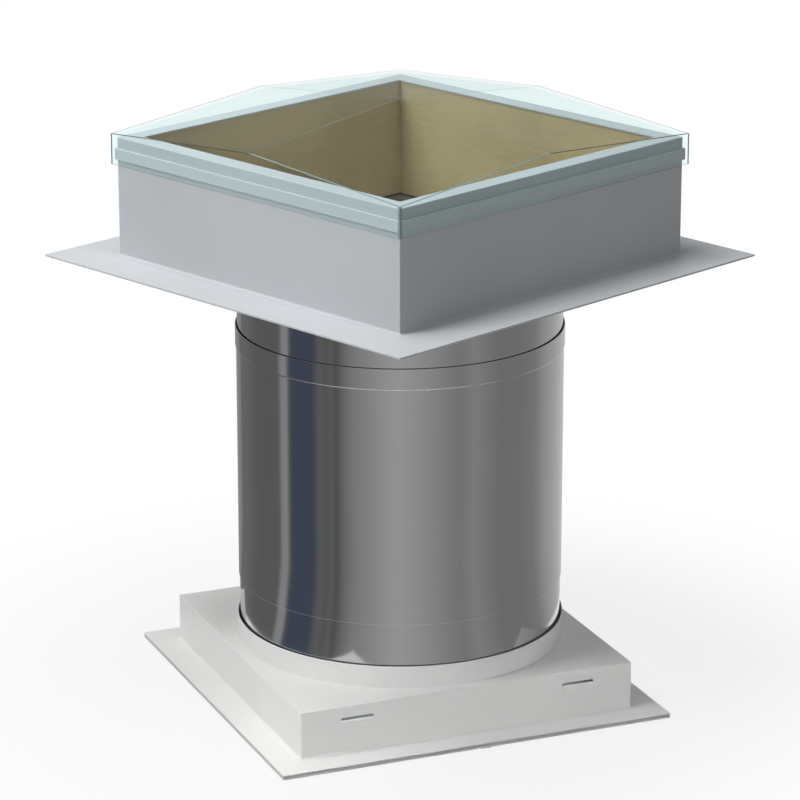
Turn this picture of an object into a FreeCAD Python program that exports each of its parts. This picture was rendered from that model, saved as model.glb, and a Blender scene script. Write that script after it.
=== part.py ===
# Tubular skylight for a flat roof: a clear pyramid dome on an insulated kerb, an adapter plate
# with a round collar, a mirror-finished light tube, a lower ring and a ceiling frame with a pane.
# Millimetres, +Z up. The origin is the centre of the ceiling frame's underside.
import FreeCAD, Part
import math
import os

os.makedirs("parts", exist_ok=True)

V = FreeCAD.Vector
UP = V(0, 0, 1)

# Light shaft
tube_diameter = 350.0
tube_length = 280.0
tube_wall = 0.8
socket_height = 22.0
socket_growth = 1.0
lock_seam_width = 9.0
lock_seam_height = 1.4
slip_clearance = 0.3
joint_overlap = 30.0
seam_angle = 135.0

# Lower ring and its rubber edge
ring_length = 98.0
ring_wall = 0.8
ring_hem_height = 8.0
ring_edge_overhang = 0.8
ring_edge_foot = 1.5
ring_edge_inset = 1.0

# Adapter under the kerb
collar_length = 98.0
collar_wall = 0.8
collar_lip = 4.0
plate_thickness = 2.0
plate_gasket = 1.5
gasket_width = 6.0
adapter_screw_radius = 2.1
adapter_screw_length = 16.0
adapter_head_radius = 4.0
adapter_head_height = 2.4
screw_hole_clearance = 0.25
screw_lip_gap = 0.5

# Kerb
kerb_side = 420.0
kerb_height = 130.0
kerb_rim = 20.0
kerb_sheet = 2.0
kerb_flange_width = 56.0
kerb_bend = 2.0
lining_setback = 1.0

# Dome
dome_wall = 3.0
dome_corner_height = 33.0
dome_mid_height = 49.0
dome_apex_height = 71.0
dome_seat_gap = 0.5
seal_tape_thickness = 2.0
seal_tape_height = 12.0
seal_tape_rise = 5.0

# Ceiling frame
frame_turn = -22.5
box_shoulder = 12.0
box_height = 53.0
box_sheet = 1.2
box_bend = 3.0
frame_flange_width = 32.0
ledge_width = 6.0
frame_collar_height = 24.0
frame_collar_wall = 1.2
frame_collar_clearance = 0.3
slot_length = 36.0
slot_height = 3.0
slot_rise = 39.0
slot_end_distance = 63.0
tab_height = 8.0
tab_lean = 2.8
tab_sheet = 0.8
tab_corner = 6.0

# Pane and the frame that carries it
pane_frame_setback = 0.5
pane_frame_base = 3.0
pane_seal = 1.0
pane_lip = 7.8
pane_thickness = 3.0
pane_clearance = 0.5
pane_bedding = 1.0
upstand_gap = 5.0
upstand_wall = 2.0
upstand_height = 15.0
finger_tab_width = 12.0
finger_tab_reach = 1.5
finger_notch_width = 3.0

# Spring clips that hold the pane frame in the box
clip_end_distance = 66.0
clip_width = 9.0
clip_sheet = 0.8
clip_top = 26.0
clip_nose_rise = 13.0
clip_bite = 1.0

# Radii of the shaft, from the tube outwards and inwards
tube_radius = tube_diameter / 2
tube_bore = tube_radius - tube_wall
sleeve_radius = tube_bore - slip_clearance
collar_bore = sleeve_radius - collar_wall
ring_bore = sleeve_radius - ring_wall
socket_radius = tube_radius + socket_growth
socket_bore = socket_radius - tube_wall
ring_hem_radius = sleeve_radius + ring_wall
ring_edge_radius = ring_hem_radius + ring_edge_overhang
frame_collar_bore = ring_edge_radius + frame_collar_clearance
frame_collar_radius = frame_collar_bore + frame_collar_wall
ledge_radius = frame_collar_bore - ledge_width

# Squares round the shaft: the kerb's, the dome's and the ceiling frame's
plate_side = kerb_side
kerb_flange_side = kerb_side + 2 * kerb_flange_width
kerb_opening = kerb_side - 2 * kerb_rim
dome_side = kerb_side + 2 * (seal_tape_thickness + dome_wall)
box_half = frame_collar_radius + box_shoulder
box_side = 2 * box_half
frame_flange_side = box_side + 2 * frame_flange_width
pane_frame_side = frame_flange_side - 2 * pane_frame_setback
upstand_outside = box_half - box_sheet - upstand_gap
upstand_inside = upstand_outside - upstand_wall
pane_frame_opening = 2 * (upstand_inside - pane_lip)
slot_offset = box_half - slot_end_distance
clip_offset = box_half - clip_end_distance

# Heights, from the ceiling frame's underside up
flange_z = pane_frame_base + pane_seal
box_top_z = flange_z + box_height
ring_z = box_top_z + ring_edge_foot
ring_top_z = ring_z + ring_length
tube_z = ring_top_z - joint_overlap
tube_top_z = tube_z + tube_length
collar_z = tube_top_z - joint_overlap
plate_z = collar_z + collar_length
plate_top_z = plate_z + plate_thickness
kerb_z = plate_top_z + plate_gasket
rim_z = kerb_z + kerb_height

# The dome's facets stand this much thicker along Z than across the wall
facet_rise = (dome_apex_height - dome_mid_height) / (dome_side / 2)
facet_fall = (dome_mid_height - dome_corner_height) / (dome_side / 2)
dome_wall_upright = dome_wall * math.sqrt(1 + facet_rise ** 2 + facet_fall ** 2)
dome_z = rim_z + dome_seat_gap + dome_wall_upright - dome_corner_height


def save(shape, node):
    shape.exportStep("parts/" + node + ".step")
    print(node, len(shape.Solids), shape.isValid(), round(shape.Volume))


def about_z(shape, angle):
    """A copy of the shape, turned about the shaft's axis."""
    turned = shape.copy()
    turned.rotate(V(0, 0, 0), UP, angle)
    return turned


def turned_profile(points):
    """A closed outline of (radius, height) points, revolved about the shaft's axis."""
    corners = [V(radius, 0, height) for radius, height in points]
    outline = Part.makePolygon(corners + corners[:1])
    return Part.Face(outline).revolve(V(0, 0, 0), UP, 360)


def square_plate(side, z, thickness):
    return Part.makeBox(side, side, thickness, V(-side / 2, -side / 2, z))


def hollow_square(side, opening, z, thickness):
    return square_plate(side, z, thickness).cut(square_plate(opening, z, thickness))


def round_bar(radius, z, height, x=0.0, y=0.0):
    return Part.makeCylinder(radius, height, V(x, y, z))


def mitre_wedge(half, z_low, z_high):
    """The quarter of space that one side of a square frame fills, cut at 45 degrees."""
    corners = [V(0, 0, z_low), V(half, -half, z_low), V(half, half, z_low)]
    outline = Part.makePolygon(corners + corners[:1])
    return Part.Face(outline).extrude(V(0, 0, z_high - z_low))


def mitred_side(face, half, z_low, z_high):
    """One side of a square frame: its section in the XZ plane, run along Y and mitred."""
    run = face.copy()
    run.translate(V(0, -half, 0))
    return run.extrude(V(0, 2 * half, 0)).common(mitre_wedge(half, z_low, z_high))


def mitred_frame(face):
    """A square frame whose four sides meet in welded mitres."""
    box = face.BoundBox
    side = mitred_side(face, box.XMax + 1, box.ZMin - 1, box.ZMax + 1)
    sides = [about_z(side, 90 * turn) for turn in range(4)]
    return sides[0].multiFuse(sides[1:]).removeSplitter()


def section(points):
    """A closed outline in the XZ plane, as (distance from the axis, height) points."""
    corners = [V(x, 0, z) for x, z in points]
    return Part.Face(Part.makePolygon(corners + corners[:1]))


def bent_foot_section(wall_x, foot_x, foot_z, top_z, sheet, bend):
    """A wall of sheet whose foot is folded outwards as a flange, with a round bend."""
    inner = wall_x - sheet
    bend_x = wall_x + bend
    bend_z = foot_z + sheet + bend
    slant = math.sqrt(0.5)

    def arc(radius, start, end):
        middle = V(bend_x - radius * slant, 0, bend_z - radius * slant)
        return Part.Arc(start, middle, end).toShape()

    under_start = V(inner, 0, bend_z)
    under_end = V(bend_x, 0, foot_z)
    over_start = V(bend_x, 0, foot_z + sheet)
    over_end = V(wall_x, 0, bend_z)
    tip_under = V(foot_x, 0, foot_z)
    tip_over = V(foot_x, 0, foot_z + sheet)
    top_outside = V(wall_x, 0, top_z)
    top_inside = V(inner, 0, top_z)
    edges = [
        arc(bend + sheet, under_start, under_end),
        Part.makeLine(under_end, tip_under),
        Part.makeLine(tip_under, tip_over),
        Part.makeLine(tip_over, over_start),
        arc(bend, over_start, over_end),
        Part.makeLine(over_end, top_outside),
        Part.makeLine(top_outside, top_inside),
        Part.makeLine(top_inside, under_start),
    ]
    return Part.Face(Part.Wire(edges))


def pyramid_body(side, corner, mid, apex, z):
    """A square body under eight facets that rise from the corners and mid-sides to the apex."""
    half = side / 2
    base = [V(half, -half, z), V(half, half, z), V(-half, half, z), V(-half, -half, z)]
    tops = [point + V(0, 0, corner) for point in base]
    peak = V(0, 0, z + apex)
    faces = [Part.Face(Part.makePolygon(base + base[:1]))]
    for index in range(4):
        after = (index + 1) % 4
        crest = (base[index] + base[after]) * 0.5 + V(0, 0, mid)
        wall = [base[index], base[after], tops[after], crest, tops[index], base[index]]
        faces.append(Part.Face(Part.makePolygon(wall)))
        faces.append(Part.Face(Part.makePolygon([tops[index], crest, peak, tops[index]])))
        faces.append(Part.Face(Part.makePolygon([crest, tops[after], peak, crest])))
    solid = Part.Solid(Part.Shell(faces))
    if solid.Volume < 0:
        solid.reverse()
    return solid


def dome_cavity():
    """The room under the dome's facets, inside its skirt."""
    inner_half = dome_side / 2 - dome_wall
    apex = dome_apex_height - dome_wall_upright
    mid = apex - facet_rise * inner_half
    corner = mid - facet_fall * inner_half
    return pyramid_body(2 * inner_half, corner, mid, apex, dome_z)


def screw_up(x, y, z):
    """A pan-head screw driven upwards, with its head's seat at height z."""
    head = round_bar(adapter_head_radius, z - adapter_head_height, adapter_head_height, x, y)
    shank = round_bar(adapter_screw_radius, z, adapter_screw_length, x, y)
    return head.fuse(shank).removeSplitter()


def adapter_screw_places():
    """A screw at the middle of each side of the plate, in the middle of the lining's thickness,
    or further out where its head has to clear the collar's lip."""
    board_middle = kerb_side / 2 - kerb_rim / 2
    beside_lip = sleeve_radius + collar_lip + screw_lip_gap + adapter_head_radius
    reach = max(board_middle, beside_lip)
    return [(reach, 0), (0, reach), (-reach, 0), (0, -reach)]


def screw_holes(radius, z, height):
    holes = [round_bar(radius, z, height, x, y) for x, y in adapter_screw_places()]
    return Part.makeCompound(holes)


# Dome
outer_dome = pyramid_body(
    dome_side, dome_corner_height, dome_mid_height, dome_apex_height, dome_z
)
save(outer_dome.cut(dome_cavity()), "dome_cover")

# The tape fills the gap between the skirt and the kerb's wall, and bonds the dome to the kerb
tape_z = dome_z + seal_tape_rise
save(
    hollow_square(dome_side - 2 * dome_wall, kerb_side, tape_z, seal_tape_height),
    "dome_seal_tape",
)

# Kerb: one folded and welded sheet with its flange, wall and rim
rim_under_z = rim_z - kerb_sheet
kerb_section = bent_foot_section(
    kerb_side / 2, kerb_flange_side / 2, kerb_z, rim_under_z, kerb_sheet, kerb_bend
)
rim = hollow_square(kerb_side, kerb_opening, rim_under_z, kerb_sheet)
save(mitred_frame(kerb_section).fuse(rim).removeSplitter(), "kerb_shell")

# Lining boards inside the sheet, mitred at the corners, with pilot holes for the screws
board_outside = kerb_side / 2 - kerb_sheet
board_inside = kerb_opening / 2 + lining_setback
board_section = section(
    [
        (board_inside, kerb_z),
        (board_outside, kerb_z),
        (board_outside, rim_under_z),
        (board_inside, rim_under_z),
    ]
)
board = mitred_side(board_section, board_outside + 1, kerb_z - 1, rim_z)
pilot_holes = screw_holes(adapter_screw_radius, kerb_z, adapter_screw_length)
for index, name in enumerate(["right", "back", "left", "front"]):
    save(about_z(board, 90 * index).cut(pilot_holes), "kerb_lining_" + name)

# Gasket between the kerb and the adapter plate, inside the ring of screws
gasket_side = 2 * (board_inside + gasket_width)
gasket = hollow_square(gasket_side, 2 * board_inside, plate_top_z, plate_gasket)
save(gasket, "adapter_gasket")

# Adapter plate, with the collar's bore as its hole
plate = square_plate(plate_side, plate_z, plate_thickness)
clear_holes = screw_holes(
    adapter_screw_radius + screw_hole_clearance, plate_z, plate_thickness
)
plate = plate.cut(round_bar(collar_bore, plate_z, plate_thickness)).cut(clear_holes)
save(plate, "adapter_plate")

# Collar welded under the plate by its turned-out lip
collar = turned_profile(
    [
        (collar_bore, collar_z),
        (sleeve_radius, collar_z),
        (sleeve_radius, plate_z - collar_wall),
        (sleeve_radius + collar_lip, plate_z - collar_wall),
        (sleeve_radius + collar_lip, plate_z),
        (collar_bore, plate_z),
    ]
)
save(collar, "adapter_collar")
adapter_screws = [screw_up(x, y, plate_z) for x, y in adapter_screw_places()]
save(Part.makeCompound(adapter_screws), "adapter_screws")

# Sealing band in the tube's socket
band_low = tube_top_z - socket_height + 2 * socket_growth
band_high = tube_top_z - 2 * socket_growth
socket_seal = turned_profile(
    [
        (sleeve_radius, band_low),
        (socket_bore, band_low),
        (socket_bore, band_high),
        (sleeve_radius, band_high),
    ]
)
save(socket_seal, "socket_seal")

# Light tube, with a wider socket at its top and a lock seam down its back
socket_z = tube_top_z - socket_height
tube = turned_profile(
    [
        (tube_bore, tube_z),
        (tube_radius, tube_z),
        (tube_radius, socket_z - socket_growth),
        (socket_radius, socket_z),
        (socket_radius, tube_top_z),
        (socket_bore, tube_top_z),
        (socket_bore, socket_z),
        (tube_bore, socket_z - socket_growth),
    ]
)
seam = Part.makeBox(
    tube_wall / 2 + lock_seam_height,
    lock_seam_width,
    tube_length - socket_height - 2 * socket_growth,
    V(tube_radius - tube_wall / 2, -lock_seam_width / 2, tube_z),
)
save(tube.fuse(about_z(seam, seam_angle)).removeSplitter(), "light_tube")

# Lower ring, whose foot is folded back outwards as a hem
hem_z = ring_z + ring_hem_height
ring = turned_profile(
    [
        (ring_bore, ring_z),
        (ring_hem_radius, ring_z),
        (ring_hem_radius, hem_z),
        (sleeve_radius, hem_z + ring_wall),
        (sleeve_radius, ring_top_z),
        (ring_bore, ring_top_z),
    ]
)
save(ring, "lower_ring")

# Rubber edge under the ring's hem
ring_edge = turned_profile(
    [
        (ring_bore - ring_edge_inset, box_top_z),
        (ring_edge_radius, box_top_z),
        (ring_edge_radius, ring_z),
        (ring_bore - ring_edge_inset, ring_z),
    ]
)
save(ring_edge, "ring_edge_seal")

# Ceiling box: folded walls with a flange, under a welded top
box_under_top_z = box_top_z - box_sheet
box_section = bent_foot_section(
    box_half, frame_flange_side / 2, flange_z, box_under_top_z, box_sheet, box_bend
)
box_walls = mitred_frame(box_section)

# The top's round hole leaves a ledge that the ring stands on
box_top = square_plate(box_side, box_under_top_z, box_sheet)
box_top = box_top.cut(round_bar(ledge_radius, box_under_top_z, box_sheet))
save(about_z(box_top, frame_turn), "ceiling_box_top")

# Each slot's metal is bent outwards below it as a tab with round lower corners
tab_low = flange_z + slot_rise - slot_height / 2 - tab_height
tab_high = flange_z + slot_rise - slot_height / 2
tab_section = section(
    [
        (box_half - tab_sheet, tab_low - tab_sheet),
        (box_half, tab_low - tab_sheet),
        (box_half + tab_lean, tab_high),
        (box_half + tab_lean - tab_sheet, tab_high),
        (box_half - tab_sheet, tab_low),
    ]
)
tab_section.translate(V(0, -slot_length / 2, 0))
tab_foot = tab_low - tab_sheet
tab_near = box_half - 2 * tab_sheet
tab_depth = tab_lean + 4 * tab_sheet
corner_y = slot_length / 2 - tab_corner
tab_outline = Part.makeBox(
    tab_depth, 2 * corner_y, tab_high - tab_foot, V(tab_near, -corner_y, tab_foot)
)
tab_upper = Part.makeBox(
    tab_depth,
    slot_length,
    tab_high - tab_foot - tab_corner,
    V(tab_near, -slot_length / 2, tab_foot + tab_corner),
)
corners = [
    Part.makeCylinder(tab_corner, tab_depth, V(tab_near, y, tab_foot + tab_corner), V(1, 0, 0))
    for y in (-corner_y, corner_y)
]
tab_outline = tab_outline.multiFuse([tab_upper] + corners)
tab = tab_section.extrude(V(0, slot_length, 0)).common(tab_outline)
slot = Part.makeBox(
    4 * box_sheet,
    slot_length,
    slot_height,
    V(box_half - 2 * box_sheet, -slot_length / 2, tab_high),
)


def on_wall(shape, offset, angle):
    """A copy of a shape made on the +X wall, slid along it and turned to another wall."""
    moved = shape.copy()
    moved.translate(V(0, offset, 0))
    return about_z(moved, angle)


def on_both_walls(shape, offset):
    """The same shape at both ends of the ceiling box's right and left walls."""
    return [on_wall(shape, side * offset, angle) for angle in (0, 180) for side in (-1, 1)]


box_walls = box_walls.multiFuse(on_both_walls(tab, slot_offset))
box_walls = box_walls.cut(Part.makeCompound(on_both_walls(slot, slot_offset)))
save(about_z(box_walls.removeSplitter(), frame_turn), "ceiling_box")

# Collar welded on the ceiling box
frame_collar = turned_profile(
    [
        (frame_collar_bore, box_top_z),
        (frame_collar_radius, box_top_z),
        (frame_collar_radius, box_top_z + frame_collar_height),
        (frame_collar_bore, box_top_z + frame_collar_height),
    ]
)
save(frame_collar, "ceiling_collar")

# Pane frame: a flat rim under the flange, a lip for the pane and an upstand for the clips
upstand_top = pane_frame_base + upstand_height
pane_section = section(
    [
        (pane_frame_opening / 2, 0),
        (pane_frame_side / 2, 0),
        (pane_frame_side / 2, pane_frame_base),
        (upstand_outside, pane_frame_base),
        (upstand_outside, upstand_top),
        (upstand_inside, upstand_top),
        (upstand_inside, pane_frame_base),
        (pane_frame_opening / 2, pane_frame_base),
    ]
)
pane_frame = mitred_frame(pane_section)
finger_tab = Part.makeBox(
    2 * finger_tab_reach,
    finger_tab_width,
    pane_frame_base,
    V(pane_frame_side / 2 - finger_tab_reach, 0, 0),
)
finger_notch = Part.makeBox(
    2 * finger_tab_reach,
    finger_notch_width,
    pane_frame_base,
    V(pane_frame_side / 2 - finger_tab_reach, -finger_notch_width, 0),
)
nose_z = flange_z + clip_nose_rise
clip_catch = Part.makeBox(
    3 * upstand_wall,
    clip_width + 2 * pane_clearance,
    2 * (clip_bite + clip_sheet),
    V(upstand_inside - upstand_wall, -clip_width / 2 - pane_clearance, nose_z - clip_bite - clip_sheet),
)
for angle in (0, 180):
    pane_frame = pane_frame.fuse(about_z(finger_tab, angle))
    pane_frame = pane_frame.cut(about_z(finger_notch, angle))
pane_frame = pane_frame.cut(Part.makeCompound(on_both_walls(clip_catch, clip_offset)))
save(about_z(pane_frame.removeSplitter(), frame_turn), "pane_frame")

# Soft strips: one between the rim and the flange, one that beds the pane
flange_seal = hollow_square(
    pane_frame_side - 4 * finger_tab_reach,
    2 * (box_half + box_bend),
    pane_frame_base,
    pane_seal,
)
save(about_z(flange_seal, frame_turn), "flange_seal")
pane_side = 2 * (upstand_inside - pane_clearance)
pane_bed = hollow_square(pane_side, pane_frame_opening, pane_frame_base, pane_bedding)
save(about_z(pane_bed, frame_turn), "pane_gasket")
pane = square_plate(pane_side, pane_frame_base + pane_bedding, pane_thickness)
save(about_z(pane, frame_turn), "diffuser_pane")

# Spring clips: fixed flat to the wall, with a nose that snaps into the upstand's catch
clip_wall = box_half - box_sheet
clip_low = nose_z - 4 * clip_sheet
nose_x = upstand_outside - clip_bite
clip_section = section(
    [
        (clip_wall, clip_low),
        (clip_wall, flange_z + clip_top),
        (clip_wall - clip_sheet, flange_z + clip_top),
        (clip_wall - clip_sheet, nose_z + 3 * clip_sheet),
        (nose_x, nose_z + clip_sheet / 2),
        (nose_x, nose_z - clip_sheet / 2),
        (clip_wall - clip_sheet, clip_low),
    ]
)
clip_section.translate(V(0, -clip_width / 2, 0))
clip = clip_section.extrude(V(0, clip_width, 0))
clips = Part.makeCompound(on_both_walls(clip, clip_offset))
save(about_z(clips, frame_turn), "pane_clips")
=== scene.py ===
import math

import bpy
import numpy as np
from bpy.props import FloatProperty, FloatVectorProperty, PointerProperty
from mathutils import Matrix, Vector


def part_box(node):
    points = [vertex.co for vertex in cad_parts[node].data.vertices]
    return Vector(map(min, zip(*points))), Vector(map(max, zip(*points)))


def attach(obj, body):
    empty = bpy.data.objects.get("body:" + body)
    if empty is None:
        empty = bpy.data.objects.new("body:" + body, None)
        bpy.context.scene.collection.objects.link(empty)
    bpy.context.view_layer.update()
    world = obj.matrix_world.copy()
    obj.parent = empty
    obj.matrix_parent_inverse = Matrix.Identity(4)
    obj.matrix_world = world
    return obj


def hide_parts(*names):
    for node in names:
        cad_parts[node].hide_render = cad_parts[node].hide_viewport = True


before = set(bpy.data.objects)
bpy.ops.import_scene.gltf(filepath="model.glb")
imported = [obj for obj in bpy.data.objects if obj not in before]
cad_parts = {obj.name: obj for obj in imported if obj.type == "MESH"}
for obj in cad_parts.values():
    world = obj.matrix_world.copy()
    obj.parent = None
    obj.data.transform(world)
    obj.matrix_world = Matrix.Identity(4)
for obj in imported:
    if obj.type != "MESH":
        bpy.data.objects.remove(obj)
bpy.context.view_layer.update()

bl_info = {
    "name": "Tubular Skylight",
    "version": (1, 0, 0),
    "blender": (4, 5, 0),
    "location": "View3D > Sidebar > Skylight",
    "description": "Dresses a flat-roof tubular skylight: dome, kerb, mirror tube and ceiling frame",
    "category": "Object",
}

MM = 0.001

# The row has one body
BODY = "root"

# The bands of the shaft, as the solids have them
TUBE_RADIUS = 175.0 * MM
SLIP_GAP = 0.3 * MM
SOCKET_GROWTH = 1.0 * MM
COLLAR_LIP = 4.0 * MM
EDGE_INSET = 1.0 * MM
BAND_EDGE = 0.25 * MM
SEAM_AZIMUTH = math.radians(135.0)
SEAM_HEIGHT = 1.4 * MM

# Corners of sheets, where they are folded and where they are cut
FOLD_CORNER = 0.9 * MM
CUT_CORNER = 0.8 * MM

# The even band inside the edge of a sheet with a hole
EVEN_BAND = 9.0 * MM

# The kerb's folds and the dome's edges
KERB_BEND = 2.0 * MM
KERB_SIDE = 420.0 * MM
DOME_CORNER = 1.2 * MM
DOME_INNER_CORNER = 0.6 * MM
DOME_ROUND = 0.5 * MM
DOME_TAPE_GAP = 0.1 * MM

# The ceiling frame stands turned about the tube
FRAME_TURN = math.radians(-22.5)
FRAME_COLLAR_WALL = 1.2 * MM
BOX_SIDE = 378.0 * MM
BOX_BEND = 3.0 * MM
BOX_FLANGE_CORNER = 0.5 * MM
LEDGE_RADIUS = 169.8 * MM
SLOT_RISE = 39.0 * MM
SLOT_OFFSET = 126.0 * MM
TAB_HEIGHT = 8.0 * MM
TAB_SHEET = 0.8 * MM
TAB_CORNER = 6.0 * MM
TAB_ROLL_RISE = 0.8 * MM
CLIP_OFFSET = 123.0 * MM
CLIP_SHEET = 0.8 * MM
RIVET_HEIGHT = 1.1 * MM
RIVET_DROP = 5.0 * MM

# The screws under the adapter plate stand this far from the middle
SCREW_REACH = 200.0 * MM

# How finely the surfaces are divided
ROUND_STEPS = 192
CORNER_STEPS = 4
SIDE_STEPS = 24
DOME_SIDE_STEPS = 25
BEND_STEPS = 6
WALL_COLUMNS = np.linspace(-0.08, 0.08, 5)

# The stage, in metres
WHITE = (1.0, 1.0, 1.0, 1.0)
AIM_HEIGHT = 0.318
FLOOR_REACH = 12.0
FLOOR_DROP = 0.5 * MM
FLOOR_FADE = (0.32, 0.7)
FLOOR_GLOW = 0.84
FLOOR_COLOUR = (0.55, 0.55, 0.55, 1.0)
AMBIENT = 0.25
GLOSSY_WHITE = 0.3
TENT_HEM = 0.33
TENT_RADIUS = 0.62
TENT_HEIGHT = 0.56

# Azimuth from the camera in degrees (to its left is negative), reach, height, width, depth,
# power, spread in degrees, and the height on the axis that it is aimed at
LAMPS = (
    ("key", -62.0, 2.6, 2.4, 1.4, 1.4, 59.5, 180.0, 0.32),
    ("top", -68.0, 0.72, 3.1, 1.5, 1.5, 59.5, 180.0, 0.32),
    ("fill", 52.0, 2.5, 1.15, 1.4, 1.4, 5.0, 180.0, 0.32),
    ("front", 20.0, 2.0, 0.8, 1.0, 0.12, 0.125, 10.0, -0.06),
    ("well", 45.0, 0.35, 1.3, 0.5, 0.1, 0.085, 20.0, 0.81),
)

# The tent's cloth, as (azimuth from the camera in degrees, grey or colour)
TENT_BANDS = (
    (-180, 0.6),
    (-144, 0.26),
    (-122, 0.17),
    (-105, 0.135),
    (-82, 0.135),
    (-80, 0.3),
    (-75, 0.33),
    (-73, 0.1),
    (-70, (0.065, 0.078, 0.118)),
    (-59, (0.067, 0.08, 0.117)),
    (-55, (0.066, 0.078, 0.11)),
    (-50, 0.15),
    (-45, (0.118, 0.125, 0.11)),
    (-42, 0.155),
    (-39, 0.1),
    (-34, 0.195),
    (-28, 0.27),
    (-20, 0.32),
    (-6, 0.42),
    (0, 0.44),
    (16, 0.36),
    (30, 0.28),
    (37, 0.25),
    (46, 0.3),
    (54, 0.26),
    (64, 0.215),
    (82, 0.225),
    (95, 0.255),
    (109, 0.39),
    (128, 0.5),
    (144, 0.58),
)


def unit(vectors):
    return vectors / np.linalg.norm(vectors, axis=-1, keepdims=True)


def turned(x, y, angle):
    """Level coordinates turned about the Z axis."""
    return x * math.cos(angle) - y * math.sin(angle), x * math.sin(angle) + y * math.cos(angle)


def eased(points, radii, steps=4):
    """A closed outline with its corners rounded. Each corner becomes a parabola that leaves one
    side and meets the next at the corner's radius from it, with one more point on each side just
    past its ends, so that the flats stay flat in the light."""
    corners = np.array(points, float)
    radii = np.broadcast_to(np.asarray(radii, float), (len(corners),))[:, None, None]
    before = unit(np.roll(corners, 1, axis=0) - corners)[:, None, :]
    after = unit(np.roll(corners, -1, axis=0) - corners)[:, None, :]
    middle = corners[:, None, :]
    share = np.linspace(0.0, 1.0, steps + 1)[None, :, None]
    start = middle + before * radii
    end = middle + after * radii
    curve = (1 - share) ** 2 * start + 2 * share * (1 - share) * middle + share ** 2 * end
    guard = 0.3 * radii
    outline = np.concatenate([start + before * guard, curve, end + after * guard], axis=1)
    return outline.reshape(-1, 2)


def full_turn(steps):
    return np.linspace(0.0, 2 * math.pi, steps, endpoint=False)


def round_rings(outline, angle=full_turn(ROUND_STEPS)):
    """Circles about the Z axis, one for each (radius, height) point of an outline, with a point
    at each angle."""
    circle = np.stack([np.cos(angle), np.sin(angle)], axis=1)
    flat = outline[:, None, :1] * circle[None]
    height = np.broadcast_to(outline[:, None, 1:], flat.shape[:2] + (1,))
    return np.concatenate([flat, height], axis=2)


def square_rings(outline, corner, turn=0.0, side_steps=SIDE_STEPS, columns=None):
    """Squares about the Z axis, one for each (half side, height) point of an outline. A corner is
    a quarter circle about the point that lies its radius inside both sides. The points along a
    side stand at even angles seen from the axis, or at the columns if they are given, with one
    more just beside each corner."""
    count = len(outline)
    half = outline[:, 0][:, None]
    corner = np.broadcast_to(np.asarray(corner, float), (count,))[:, None]
    arc = np.linspace(0.0, math.pi / 2, CORNER_STEPS + 1)[None]
    along = np.tan(np.linspace(-math.pi / 4, math.pi / 4, side_steps))[1:-1][None]
    along = (half - corner) * along
    if columns is not None:
        along = np.broadcast_to(np.asarray(columns, float), (count, len(columns)))
    side_steps = along.shape[1] + 2
    beside = half - 1.5 * corner
    quarters = []
    for quarter in range(4):
        side = np.broadcast_to(half, (count, side_steps))
        x = np.concatenate([side, half - corner + corner * np.cos(arc)], axis=1)
        y = np.concatenate(
            [-beside, along, beside, half - corner + corner * np.sin(arc)], axis=1
        )
        quarters.append(np.stack(turned(x, y, quarter * math.pi / 2 + turn), axis=2))
    flat = np.concatenate(quarters, axis=1)
    height = np.broadcast_to(outline[:, None, 1:], flat.shape[:2] + (1,))
    return np.concatenate([flat, height], axis=2)


def holed_sheet(half, bore, low, high, corner, radii, turn=0.0):
    """A square sheet with a round hole. Its upright outer edge has the radii below and above, and
    the third radius is the chamfer of the hole. Each point of the hole's circles stands at the
    angle of a point of the square."""
    inside = half - EVEN_BAND
    around = [(half, low), (half, high), (inside, high), (inside, low)]
    outline = eased(around, [*radii, radii[2]])
    square = square_rings(outline[: len(outline) // 2], corner, turn)
    edge = radii[2]
    hole = [(bore + edge, high), (bore, high - edge), (bore, low + edge), (bore + edge, low)]
    angle = np.arctan2(square[0, :, 1], square[0, :, 0])
    return np.concatenate([square, round_rings(np.array(hole), angle)])


def turned_half(low, high, turn):
    """Half the side of a square whose turned corners reach the box from low to high."""
    reach = abs(math.cos(turn)) + abs(math.sin(turn))
    return (high[0] - low[0]) / 2 / reach


def ring_faces(rings, wrap):
    """Four-sided faces between each ring and the next, and from the last to the first if wrap."""
    count, around = rings.shape[:2]
    last = count if wrap else count - 1
    row = np.arange(last)[:, None]
    column = np.arange(around)[None]
    next_row = (row + 1) % count
    next_column = (column + 1) % around
    corners = [
        row * around + column,
        row * around + next_column,
        next_row * around + next_column,
        next_row * around + column,
    ]
    return np.stack([np.broadcast_to(c, (last, around)) for c in corners], axis=2).reshape(-1, 4)


def opened(faces, around, holes):
    """The faces with holes through the sheet. Each hole takes the cell in its column between two
    rings outside and the one between two rings inside, and four new faces line its edge."""
    gone = []
    lining = []
    for outer, inner, column in holes:
        cells = [outer * around + column, inner * around + column]
        near, far = faces[cells]
        gone += cells
        lining += [
            [near[0], near[1], far[2], far[3]],
            [near[2], near[3], far[0], far[1]],
            [near[3], near[0], far[3], far[0]],
            [near[1], near[2], far[1], far[2]],
        ]
    return np.concatenate([np.delete(faces, gone, axis=0), np.array(lining)])


def enclosed(points, faces):
    """Six times the volume inside the faces: positive when they point outwards."""
    a, b, c, d = (points[faces[:, i]] for i in range(4))
    return float((a * np.cross(b, c)).sum() + (a * np.cross(c, d)).sum())


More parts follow.
